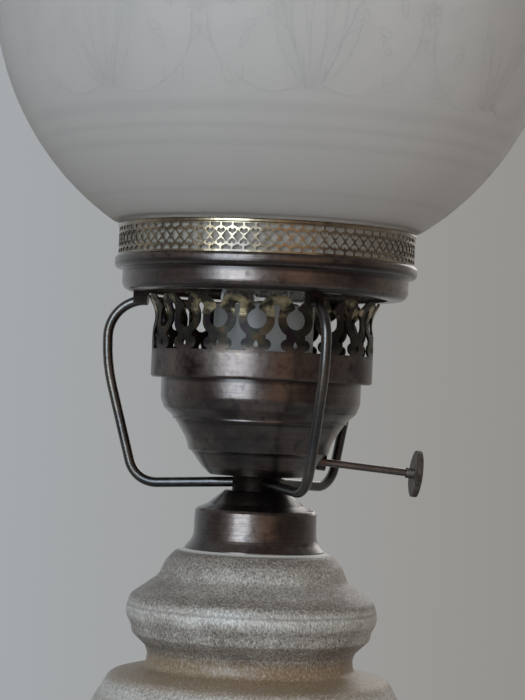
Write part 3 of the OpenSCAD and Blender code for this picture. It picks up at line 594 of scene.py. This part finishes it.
def evaluated(piece):
    graph = bpy.context.evaluated_depsgraph_get()
    graph.update()
    return bpy.data.meshes.new_from_object(piece.evaluated_get(graph))


# Geometry Nodes trees have named sizes and end in real geometry with its material


def newTree(name, sizes, material):
    tree = bpy.data.node_groups.new(name, "GeometryNodeTree")
    tree.interface.new_socket("Geometry", in_out="INPUT", socket_type="NodeSocketGeometry")
    for label, value in sizes.items():
        kind = "NodeSocketInt" if isinstance(value, int) else "NodeSocketFloat"
        tree.interface.new_socket(label, in_out="INPUT", socket_type=kind)
    tree.interface.new_socket("Geometry", in_out="OUTPUT", socket_type="NodeSocketGeometry")
    given = tree.nodes.new("NodeGroupInput").outputs

    def close(result):
        real = addNode(tree, "GeometryNodeRealizeInstances", {0: result})
        coated = addNode(tree, "GeometryNodeSetMaterial", {"Geometry": real.outputs[0]})
        coated.inputs["Material"].default_value = material
        addNode(tree, "NodeGroupOutput", {0: coated.outputs[0]})

    return tree, given, close


def growPiece(name, startMesh, tree, sizes, material, sharp=35):
    seed = bpy.data.objects.new(name + "Seed", startMesh)
    scene.collection.objects.link(seed)
    grown = seed.modifiers.new("nodes", "NODES")
    grown.node_group = tree
    identifiers = {item.name: item.identifier for item in tree.interface.items_tree if item.in_out == "INPUT"}
    for label, value in sizes.items():
        grown[identifiers[label]] = value
    mesh = evaluated(seed)
    seed.modifiers.clear()
    bpy.data.objects.remove(seed)
    mesh.name = name
    smooth(mesh, sharp)
    return newPiece(name, mesh, material)


def pathMesh(name, *paths):
    mesh = bpy.data.meshes.new(name)
    points, edges = [], []
    for path in paths:
        first = len(points)
        points += [Vector(p) * mm for p in path]
        edges += [(first + k, first + k + 1) for k in range(len(path) - 1)]
    mesh.from_pydata(points, edges, [])
    return mesh


# Ceramic body
print("ceramic body")

bodySizes = {
    "wall": 5, "rim": 24.6, "neckHole": 9, "neckPlate": 6, "foot": 64, "plateSeat": 49.5, "flangeBore": 38, "hollow": 8,
    "belly": 66, "waist": 35.5, "ridge": 41.7, "bead": 44, "cove": 32.7, "shoulder": 30.7,
    "cordHole": 4.2, "cordHoleHeight": 17.5,
}


def makeBody():
    s = bodySizes
    rim, foot = high("ceramic_body"), low("ceramic_body")
    wide, belly, waist, bead, wall = s["foot"], s["belly"], s["waist"], s["bead"], s["wall"]
    outside = rounded([
        (wide - 2, foot, 0), (wide, foot + 2, 1.5), (wide, rim - 162, 5), (wide - 6, rim - 153, 3), (49, rim - 149, 4),
        (48, rim - 142, 10), (belly + 1, rim - 110, 26), (belly, rim - 74, 30), (48.3, rim - 43.6, 4.5),
        (waist + 0.5, rim - 40.5, 2.6), (waist, rim - 36.6, 4), (waist + 1, rim - 33.8, 3),
        (s["ridge"] - 0.5, rim - 29.4, 1.8), (s["ridge"], rim - 26.6, 2.5), (bead, rim - 22.5, 7),
        (bead - 1.8, rim - 16.6, 3.2), (s["cove"], rim - 9.7, 5), (s["shoulder"], rim - 4.8, 6),
        (s["shoulder"] - 3.1, rim - 1.3, 3), (s["rim"], rim, 0),
    ])
    flange = foot + s["hollow"]
    floor = flange + wall
    inside = rounded([
        (wide - wall - 2, floor, 0), (wide - wall - 2, rim - 162, 5), (48 - wall, rim - 150, 6), (48 - wall, rim - 138, 12),
        (belly - wall, rim - 108, 26), (belly - wall, rim - 75, 25), (48.3 - wall, rim - 48.6, 5),
        (waist - wall, rim - 44.8, 5), (waist - wall, rim - 32.8, 5), (bead - wall, rim - 25.5, 4),
        (bead - wall, rim - 20.5, 4), (s["cove"] - wall - 1, rim - 12.7, 5), (s["cove"] - wall - 1, rim - s["neckPlate"], 0),
    ])
    hole = s["neckHole"]
    outline = [Vector((s["plateSeat"], foot))] + outside
    outline += [Vector((hole, rim)), Vector((hole, rim - s["neckPlate"]))] + inside[::-1]
    outline += [Vector((s["flangeBore"], floor)), Vector((s["flangeBore"], flange)), Vector((s["plateSeat"], flange))]
    piece = newPiece("ceramicBody", turnedMesh("ceramicBody", outline, 256), glaze)
    drill(piece, s["cordHole"], (0, 40, s["cordHoleHeight"]), (0, 80, s["cordHoleHeight"]))
    standFor(piece, "ceramic_body")


makeBody()

# Spun metal: collar, bowl and shade ring
print("spun metal")

spunSizes = {
    "sheet": 0.8, "tubeHole": 5.2, "collarWall": 21.15, "collarTop": 11, "rimEdge": 24.2, "bowl": 34.7, "bowlStep": 30.2,
    "bowlMiddle": 24.3, "bowlFoot": 16.5, "keySlope": math.radians(5), "keyTurn": math.radians(7), "keyAxis": 216.3,
    "bush": 3,
}


def makeCollar():
    s = spunSizes
    top, rim = high("collar"), low("collar")
    wall = s["collarWall"]
    line = rounded([
        (s["tubeHole"], top, 0), (s["collarTop"], top, 1), (wall - 4.5, rim + 15.8, 3), (wall - 0.6, rim + 14.1, 1),
        (wall, rim + 13.1, 1), (wall + 0.2, rim + 3.8, 6), (s["rimEdge"], rim + 0.4, 0), (s["rimEdge"], rim, 0),
    ])[::-1]
    outline = line + sideways(line, s["sheet"])[::-1]
    piece = newPiece("collarSpun", turnedMesh("collarSpun", outline), bronze)
    standFor(piece, "collar")


def bowlLine(step):
    s = spunSizes
    bottom, top = low("burner_bowl"), high("burner_bowl")
    middle, tier = bottom + 8, bottom + 18.7
    points = [(s["tubeHole"], bottom, 0), (s["bowlFoot"], bottom, 1.6), (s["bowlFoot"] + 2.9, bottom + 2.6, 4),
              (s["bowlMiddle"] - 1.5, middle - 0.8, 3)]
    if step:
        points += [(s["bowlMiddle"] - step, middle, 0), (s["bowlMiddle"], middle + 0.3, 0.15)]
    points += [(s["bowlMiddle"] + 1, middle + 4.1, 12), (s["bowlStep"] - step, tier, 0)]
    if step:
        points += [(s["bowlStep"], tier + 0.1, 0.12), (s["bowlStep"], tier + 0.75, 0.3)]
    points += [(s["bowlStep"] + 0.5, tier + 1.4, 0.8), (s["bowl"] - 1.3, tier + 3.8, 1.6), (s["bowl"], tier + 7.4, 4),
               (s["bowl"], top, 0), (37.4, top, 0)]
    return rounded(points)


def makeBowl():
    s = spunSizes
    outline = bowlLine(0.8) + sideways(bowlLine(0), s["sheet"])[::-1]
    piece = newPiece("bowlSpun", turnedMesh("bowlSpun", outline), bronze)
    slope, turn = s["keySlope"], s["keyTurn"]
    along = Vector((math.cos(slope) * math.cos(turn), math.cos(slope) * math.sin(turn), -math.sin(slope)))
    origin = Vector((0, 0, s["keyAxis"]))
    drill(piece, s["bush"], origin + along * 15, origin + along * 32)
    standFor(piece, "burner_bowl")


ringSizes = {"flange": 42.6, "wall": 49.7, "bead": 52.5, "gallery": 51.4, "sheet": 1.0, "seat": 8.6}


def makeShadeRing():
    s = ringSizes
    base, top = low("shade_ring"), high("shade_ring")
    seat = base + s["seat"]
    outline = rounded([
        (s["flange"], base, 0), (s["wall"], base, 3.2), (s["wall"], seat - s["sheet"], 0.5), (s["bead"], seat - s["sheet"], 1.6),
        (s["bead"], top, 1.4), (s["gallery"], top, 0),
    ]) + rounded([
        (s["gallery"], seat, 0), (s["wall"] - s["sheet"], seat, 0), (s["wall"] - s["sheet"], base + s["sheet"], 2.2),
        (s["flange"], base + s["sheet"], 0),
    ])
    piece = newPiece("shadeRingSpun", turnedMesh("shadeRingSpun", outline), bronze)
    standFor(piece, "shade_ring")


makeCollar()
makeBowl()
makeShadeRing()

# Wire arms follow a bent path
print("wire arms")

armSizes = {"Wire Radius": 1.75 * mm, "Bend Steps": 14, "Wire Sides": 24}
armPath = {"hubEnd": 6.3, "elbow": 43.2, "elbowDrop": 2.0, "reach": 54.9, "belly": 39.5, "end": 41.2, "wireAboveHub": 2.9,
           "dropUnderRing": 2.8, "bends": (10, 60, 13), "directions": {"arm_left": 172, "arm_front": 292, "arm_back": 52}}


def wireTree():
    tree, given, close = newTree("wireAlongPath", armSizes, armBronze)
    path = addNode(tree, "GeometryNodeMeshToCurve", {0: given["Geometry"]})
    section = addNode(tree, "GeometryNodeCurvePrimitiveCircle", {"Resolution": given["Wire Sides"], "Radius": given["Wire Radius"]})
    wire = addNode(tree, "GeometryNodeCurveToMesh", {
        "Curve": path.outputs[0], "Profile Curve": section.outputs[0], "Fill Caps": True})
    close(wire.outputs[0])
    return tree


def makeArms():
    s = armPath
    tree = wireTree()
    wireHeight = low("arm_hub") + s["wireAboveHub"]
    topHeight = low("shade_ring") - s["dropUnderRing"]
    lowBend, longBend, topBend = s["bends"]
    line = rounded([
        (s["hubEnd"], wireHeight, 0), (s["elbow"], wireHeight - s["elbowDrop"], lowBend), (s["reach"], wireHeight + s["belly"], longBend),
        (s["reach"], topHeight, topBend), (s["end"], topHeight, 0),
    ], math.radians(5))
    for node, azimuth in s["directions"].items():
        turn = math.radians(azimuth)
        path = [(p.x * math.cos(turn), p.x * math.sin(turn), p.y) for p in line]
        piece = growPiece(node.replace("_", "") + "Wire", pathMesh(node + "Path", path), tree, armSizes, armBronze)
        standFor(piece, node)


makeArms()

# Key knob: a disc with teeth round its rim
print("key knob")

knobTeeth = {"Teeth": 60, "Rim Radius": 7.82 * mm, "Tooth Radius": 0.3 * mm, "Tooth Length": 1.8 * mm, "Middle": 1.1 * mm}
knobForm = {"reach": 55, "axisHeight": 216.3, "turn": math.radians(7), "drop": math.radians(5), "rim": 7.9, "thickness": 2.2,
            "hub": 1.8, "hubLength": 2.6, "bore": 1.0, "shaft": 1.3}


def keyPlace(distance):
    s = knobForm
    turn = Matrix.Rotation(s["turn"], 4, "Z") @ Matrix.Rotation(math.radians(90) + s["drop"], 4, "Y")
    return Matrix.Translation((0, 0, s["axisHeight"] * mm)) @ turn @ Matrix.Translation((0, 0, distance * mm))


def knobTree():
    tree, given, close = newTree("teethRoundRim", knobTeeth, knobMetal)
    rim = addNode(tree, "GeometryNodeMeshCircle", {"Vertices": given["Teeth"], "Radius": given["Rim Radius"]})
    lift = addNode(tree, "ShaderNodeCombineXYZ", {"Z": given["Middle"]})
    raised = addNode(tree, "GeometryNodeTransform", {"Geometry": rim.outputs[0], "Translation": lift.outputs[0]})
    tooth = addNode(tree, "GeometryNodeMeshCylinder", {
        "Vertices": 12, "Radius": given["Tooth Radius"], "Depth": given["Tooth Length"]})
    teeth = addNode(tree, "GeometryNodeInstanceOnPoints", {"Points": raised.outputs[0], "Instance": tooth.outputs[0]})
    joined = addNode(tree, "GeometryNodeJoinGeometry")
    tree.links.new(given["Geometry"], joined.inputs[0])
    tree.links.new(teeth.outputs[0], joined.inputs[0])
    close(joined.outputs[0])
    return tree


def makeKnob():
    s = knobForm
    outline = rounded([
        (s["shaft"], -s["hubLength"], 0), (s["hub"], -s["hubLength"], 0.25), (s["hub"], 0, 0.15), (s["rim"] - 1.3, 0, 0.4),
        (s["rim"] - 0.7, -0.05, 0.2), (s["rim"], 0.25, 0.25), (s["rim"], s["thickness"] - 0.25, 0.25),
        (s["rim"] - 0.7, s["thickness"], 0.2), (s["rim"] - 1.2, s["thickness"] - 0.25, 0.2), (3.2, s["thickness"] - 0.25, 0.3),
        (2.2, s["thickness"], 0.3), (s["bore"], s["thickness"], 0), (s["bore"], 0, 0), (s["shaft"], 0, 0),
    ], math.radians(10))
    piece = growPiece("keyKnobKnurled", turnedMesh("knobDisc", outline, 96), knobTree(), knobTeeth, knobMetal, 40)
    piece.data.transform(keyPlace(s["reach"]))
    standFor(piece, "key_knob")


knobMetal = bronzeMaterial("rubbedKnob", (0.06, 0.050, 0.046), (0.14, 0.118, 0.102), (0.22, 0.185, 0.16), 0.50, 0.62, 120, 0.0)
makeKnob()

# Bulb: blown glass and a coiled filament
print("bulb")

bulbSizes = {"radius": 30, "capBore": 11.75, "neck": 15.6, "wall": 0.8, "capAbove": 6, "centreAbove": 57, "start": -42}


def makeBulb():
    s = bulbSizes
    bottom = low("bulb_glass")
    edge = bottom + s["capAbove"]
    centre = bottom + s["centreAbove"]
    start = math.radians(s["start"])
    line = rounded([
        (s["capBore"], bottom, 0), (s["capBore"], edge + 0.4, 1.2), (s["neck"] - 0.6, edge + 4.4, 3), (s["neck"] + 0.6, edge + 14, 25),
        (s["neck"] + 3.4, edge + 23, 25), (s["radius"] * math.cos(start), centre + s["radius"] * math.sin(start), 0),
    ])
    line += arc(centre, s["radius"], start + math.radians(6), math.radians(90), 40)
    outline = line + sideways(line, s["wall"])[::-1]
    piece = newPiece("bulbBlown", turnedMesh("bulbBlown", outline, 96), clearGlass)
    standFor(piece, "bulb_glass")


makeBulb()

filamentSizes = {"Turns": 26.0, "Coil Radius": 0.33 * mm, "Coil Length": 19.0 * mm, "Strand Radius": 0.09 * mm}


def filamentTree():
    tree, given, close = newTree("coiledFilament", filamentSizes, tungsten)
    coil = addNode(tree, "GeometryNodeCurveSpiral", {
        "Resolution": 14, "Rotations": given["Turns"], "Start Radius": given["Coil Radius"], "End Radius": given["Coil Radius"],
        "Height": given["Coil Length"]})
    section = addNode(tree, "GeometryNodeCurvePrimitiveCircle", {"Resolution": 6, "Radius": given["Strand Radius"]})
    strand = addNode(tree, "GeometryNodeCurveToMesh", {"Curve": coil.outputs[0], "Profile Curve": section.outputs[0], "Fill Caps": True})
    close(strand.outputs[0])
    return tree


def makeFilament():
    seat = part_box("bulb_filament")
    middle = (seat[0] + seat[1]) / 2
    piece = growPiece("filamentCoil", pathMesh("filamentSeed", [(0, 0, 0), (1, 0, 0)]), filamentTree(), filamentSizes, tungsten, 60)
    lay = Matrix.Rotation(math.radians(90), 4, "Y") @ Matrix.Translation((0, 0, -filamentSizes["Coil Length"] / 2))
    piece.data.transform(Matrix.Translation(middle) @ lay)
    standFor(piece, "bulb_filament")


makeFilament()

# Globe with its etched ornament
print("globe")

globeSizes = {"radius": 97.8, "wall": 2.8, "fitter": 49.9, "fitterHeight": 15.6, "shoulder": 3.7, "mouth": 84}


def globeCentre():
    s = globeSizes
    shoulder = low("glass_globe") + s["fitterHeight"]
    return shoulder + math.sqrt(s["radius"] ** 2 - (s["fitter"] + s["shoulder"]) ** 2)


def makeGlobe():
    s = globeSizes
    seat = low("glass_globe")
    shoulder = seat + s["fitterHeight"]
    centre = globeCentre()
    start = math.asin((shoulder - centre) / s["radius"]) + math.radians(2.4)
    startPoint = (s["radius"] * math.cos(start), centre + s["radius"] * math.sin(start), 0)
    line = rounded([
        (s["fitter"], seat, 0), (s["fitter"], shoulder, 1.6), (s["fitter"] + s["shoulder"], shoulder, 3.2), startPoint])
    line += arc(centre, s["radius"], start + math.radians(3), math.acos(s["mouth"] / 2 / s["radius"]), 70)
    inner = sideways(line, s["wall"])
    piece = newPiece("globeGlass", turnedMesh("globeGlass", line + inner[::-1], 256), frosted)
    standFor(piece, "glass_globe")
    return piece


makeGlobe()

etchSizes = {"Copies": 8, "Globe Radius": 97.8 * mm, "Centre Height": 377 * mm, "Line Radius": 0.38 * mm, "Flatness": 0.12,
             "Phase": math.radians(8)}
etchLook = {
    "tiers": ((0, -47), (0.5, 4)),     # shift in repeats, millimetres along the meridian from the equator
    "reeds": 5, "reedLength": 40, "spread": math.radians(48), "flower": 27,
}


def spiral(centre, radius, start, turns, side, steps=22, shrink=0.16):
    path = []
    for k in range(steps + 1):
        t = k / steps
        angle = start + side * turns * 2 * math.pi * t
        r = radius * (1 - (1 - shrink) * t)
        path.append((centre[0] + r * math.cos(angle), centre[1] + r * math.sin(angle), 0))
    return path


def bow(first, last, lift, steps=12):
    a, b = Vector((*first, 0)), Vector((*last, 0))
    across = Vector((-(b - a).y, (b - a).x, 0)) * lift
    return [tuple(a.lerp(b, k / steps) + across * math.sin(math.pi * k / steps)) for k in range(steps + 1)]


def etchTier(base):
    look = etchLook
    half = math.pi * globeSizes["radius"] / etchSizes["Copies"]
    paths = []
    # A fan of tapered reeds with curled tips
    for k in range(look["reeds"]):
        share = k / (look["reeds"] - 1) - 0.5
        lean = share * look["spread"]
        length = look["reedLength"] * (1 - 0.6 * share * share)
        tip = (length * math.sin(lean), base + length * math.cos(lean))
        for swell in (-0.065, 0.065):
            paths.append(bow((share * 5, base), tip, swell - 0.14 * share))
        if share:
            side = math.copysign(1, share)
            paths.append(spiral((tip[0] + side * 1.4, tip[1] - 0.5), 1.6, math.radians(90 + side * 70), 0.7, -side, 10, 0.4))
    for side in (-1, 1):
        # Volutes beside the fan, then a stem with leaves and a cup at its foot
        paths.append(bow((side * 3, base), (side * 16.4, base + 23), side * 0.16))
        paths.append(spiral((side * 13.2, base + 24), 3.3, math.radians(0 if side > 0 else 180), 1.3, side, 20))
        paths.append(bow((side * 4, base + 1), (side * 27, base + 4), -side * 0.16))
        paths.append(bow((side * 28, base + 4), (side * (half - 2.5), base + look["flower"] - 3.5), -side * 0.12))
        for reach in (-3.5, 3.5):
            paths.append(bow((side * 28, base + 1), (side * 28 + reach, base + 6.5), -0.25 * math.copysign(1, reach)))
        for x, y, lean in ((25.5, 12, 35), (25, 18, 60), (35, 14, -30), (29, 25, 20)):
            turn = math.radians(lean)
            tip = (side * (x - 6 * math.sin(turn)), base + y + 6 * math.cos(turn))
            for swell in (-0.2, 0.2):
                paths.append(bow((side * x, base + y), tip, swell, 8))
        paths.append(bow((side * 20, base + look["reedLength"] - 3), (side * half, base + look["flower"] + 9), side * 0.2))
    for k in range(6):
        turn = math.radians(60 * k + 30)
        middle = base + look["flower"]
        inside = (half + 0.8 * math.cos(turn), middle + 0.8 * math.sin(turn))
        for swell in (-0.35, 0.35):
            paths.append(bow(inside, (half + 4 * math.cos(turn), middle + 4 * math.sin(turn)), swell, 8))
    return paths


def etchPaths():
    repeat = 2 * math.pi * globeSizes["radius"] / etchSizes["Copies"]
    return [[(x + shift * repeat, y, z) for x, y, z in path] for shift, base in etchLook["tiers"] for path in etchTier(base)]


def etchTree():
    tree, given, close = newTree("ornamentRoundGlobe", etchSizes, etchedLine)
    path = addNode(tree, "GeometryNodeMeshToCurve", {0: given["Geometry"]})
    section = addNode(tree, "GeometryNodeCurvePrimitiveCircle", {"Resolution": 6, "Radius": given["Line Radius"]})
    line = addNode(tree, "GeometryNodeCurveToMesh", {"Curve": path.outputs[0], "Profile Curve": section.outputs[0], "Fill Caps": True})
    around = math3(tree, "MULTIPLY", given["Globe Radius"], 2 * math.pi)
    step = math3(tree, "DIVIDE", around, given["Copies"])
    offset = addNode(tree, "ShaderNodeCombineXYZ", {"X": step})
    starts = addNode(tree, "GeometryNodeMeshLine", {"Count": given["Copies"], "Offset": offset.outputs[0]})
    copies = addNode(tree, "GeometryNodeInstanceOnPoints", {"Points": starts.outputs[0], "Instance": line.outputs[0]})
    real = addNode(tree, "GeometryNodeRealizeInstances", {0: copies.outputs[0]})
    # Flat x and y become directions round and up the globe, and z stands out of it
    spot = addNode(tree, "ShaderNodeSeparateXYZ", {0: addNode(tree, "GeometryNodeInputPosition").outputs[0]}).outputs
    front = math3(tree, "SUBTRACT", given["Phase"], math.pi / 2)
    turn = math3(tree, "ADD", math3(tree, "DIVIDE", spot["X"], given["Globe Radius"]), front)
    rise = math3(tree, "DIVIDE", spot["Y"], given["Globe Radius"])
    out = math3(tree, "MULTIPLY_ADD", spot["Z"], given["Flatness"], given["Globe Radius"])
    level = math3(tree, "MULTIPLY", out, math3(tree, "COSINE", rise))
    bent = addNode(tree, "ShaderNodeCombineXYZ", {
        "X": math3(tree, "MULTIPLY", level, math3(tree, "COSINE", turn)),
        "Y": math3(tree, "MULTIPLY", level, math3(tree, "SINE", turn)),
        "Z": math3(tree, "MULTIPLY_ADD", out, math3(tree, "SINE", rise), given["Centre Height"]),
    })
    moved = addNode(tree, "GeometryNodeSetPosition", {"Geometry": real.outputs[0], "Position": bent.outputs[0]})
    close(moved.outputs[0])
    return tree


etchedLine = plainMaterial("etchedLine", (0.69, 0.655, 0.625), (0.735, 0.70, 0.665), 0.58, scale=400, Transmission_Weight=0.62, IOR=1.45)


def makeEtching():
    etchSizes["Centre Height"] = globeCentre() * mm
    piece = growPiece("globeEtching", pathMesh("etchPaths", *etchPaths()), etchTree(), etchSizes, etchedLine, 60)
    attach(piece, "globe")
    print("etching triangles", sum(len(f.vertices) - 2 for f in piece.data.polygons))


makeEtching()
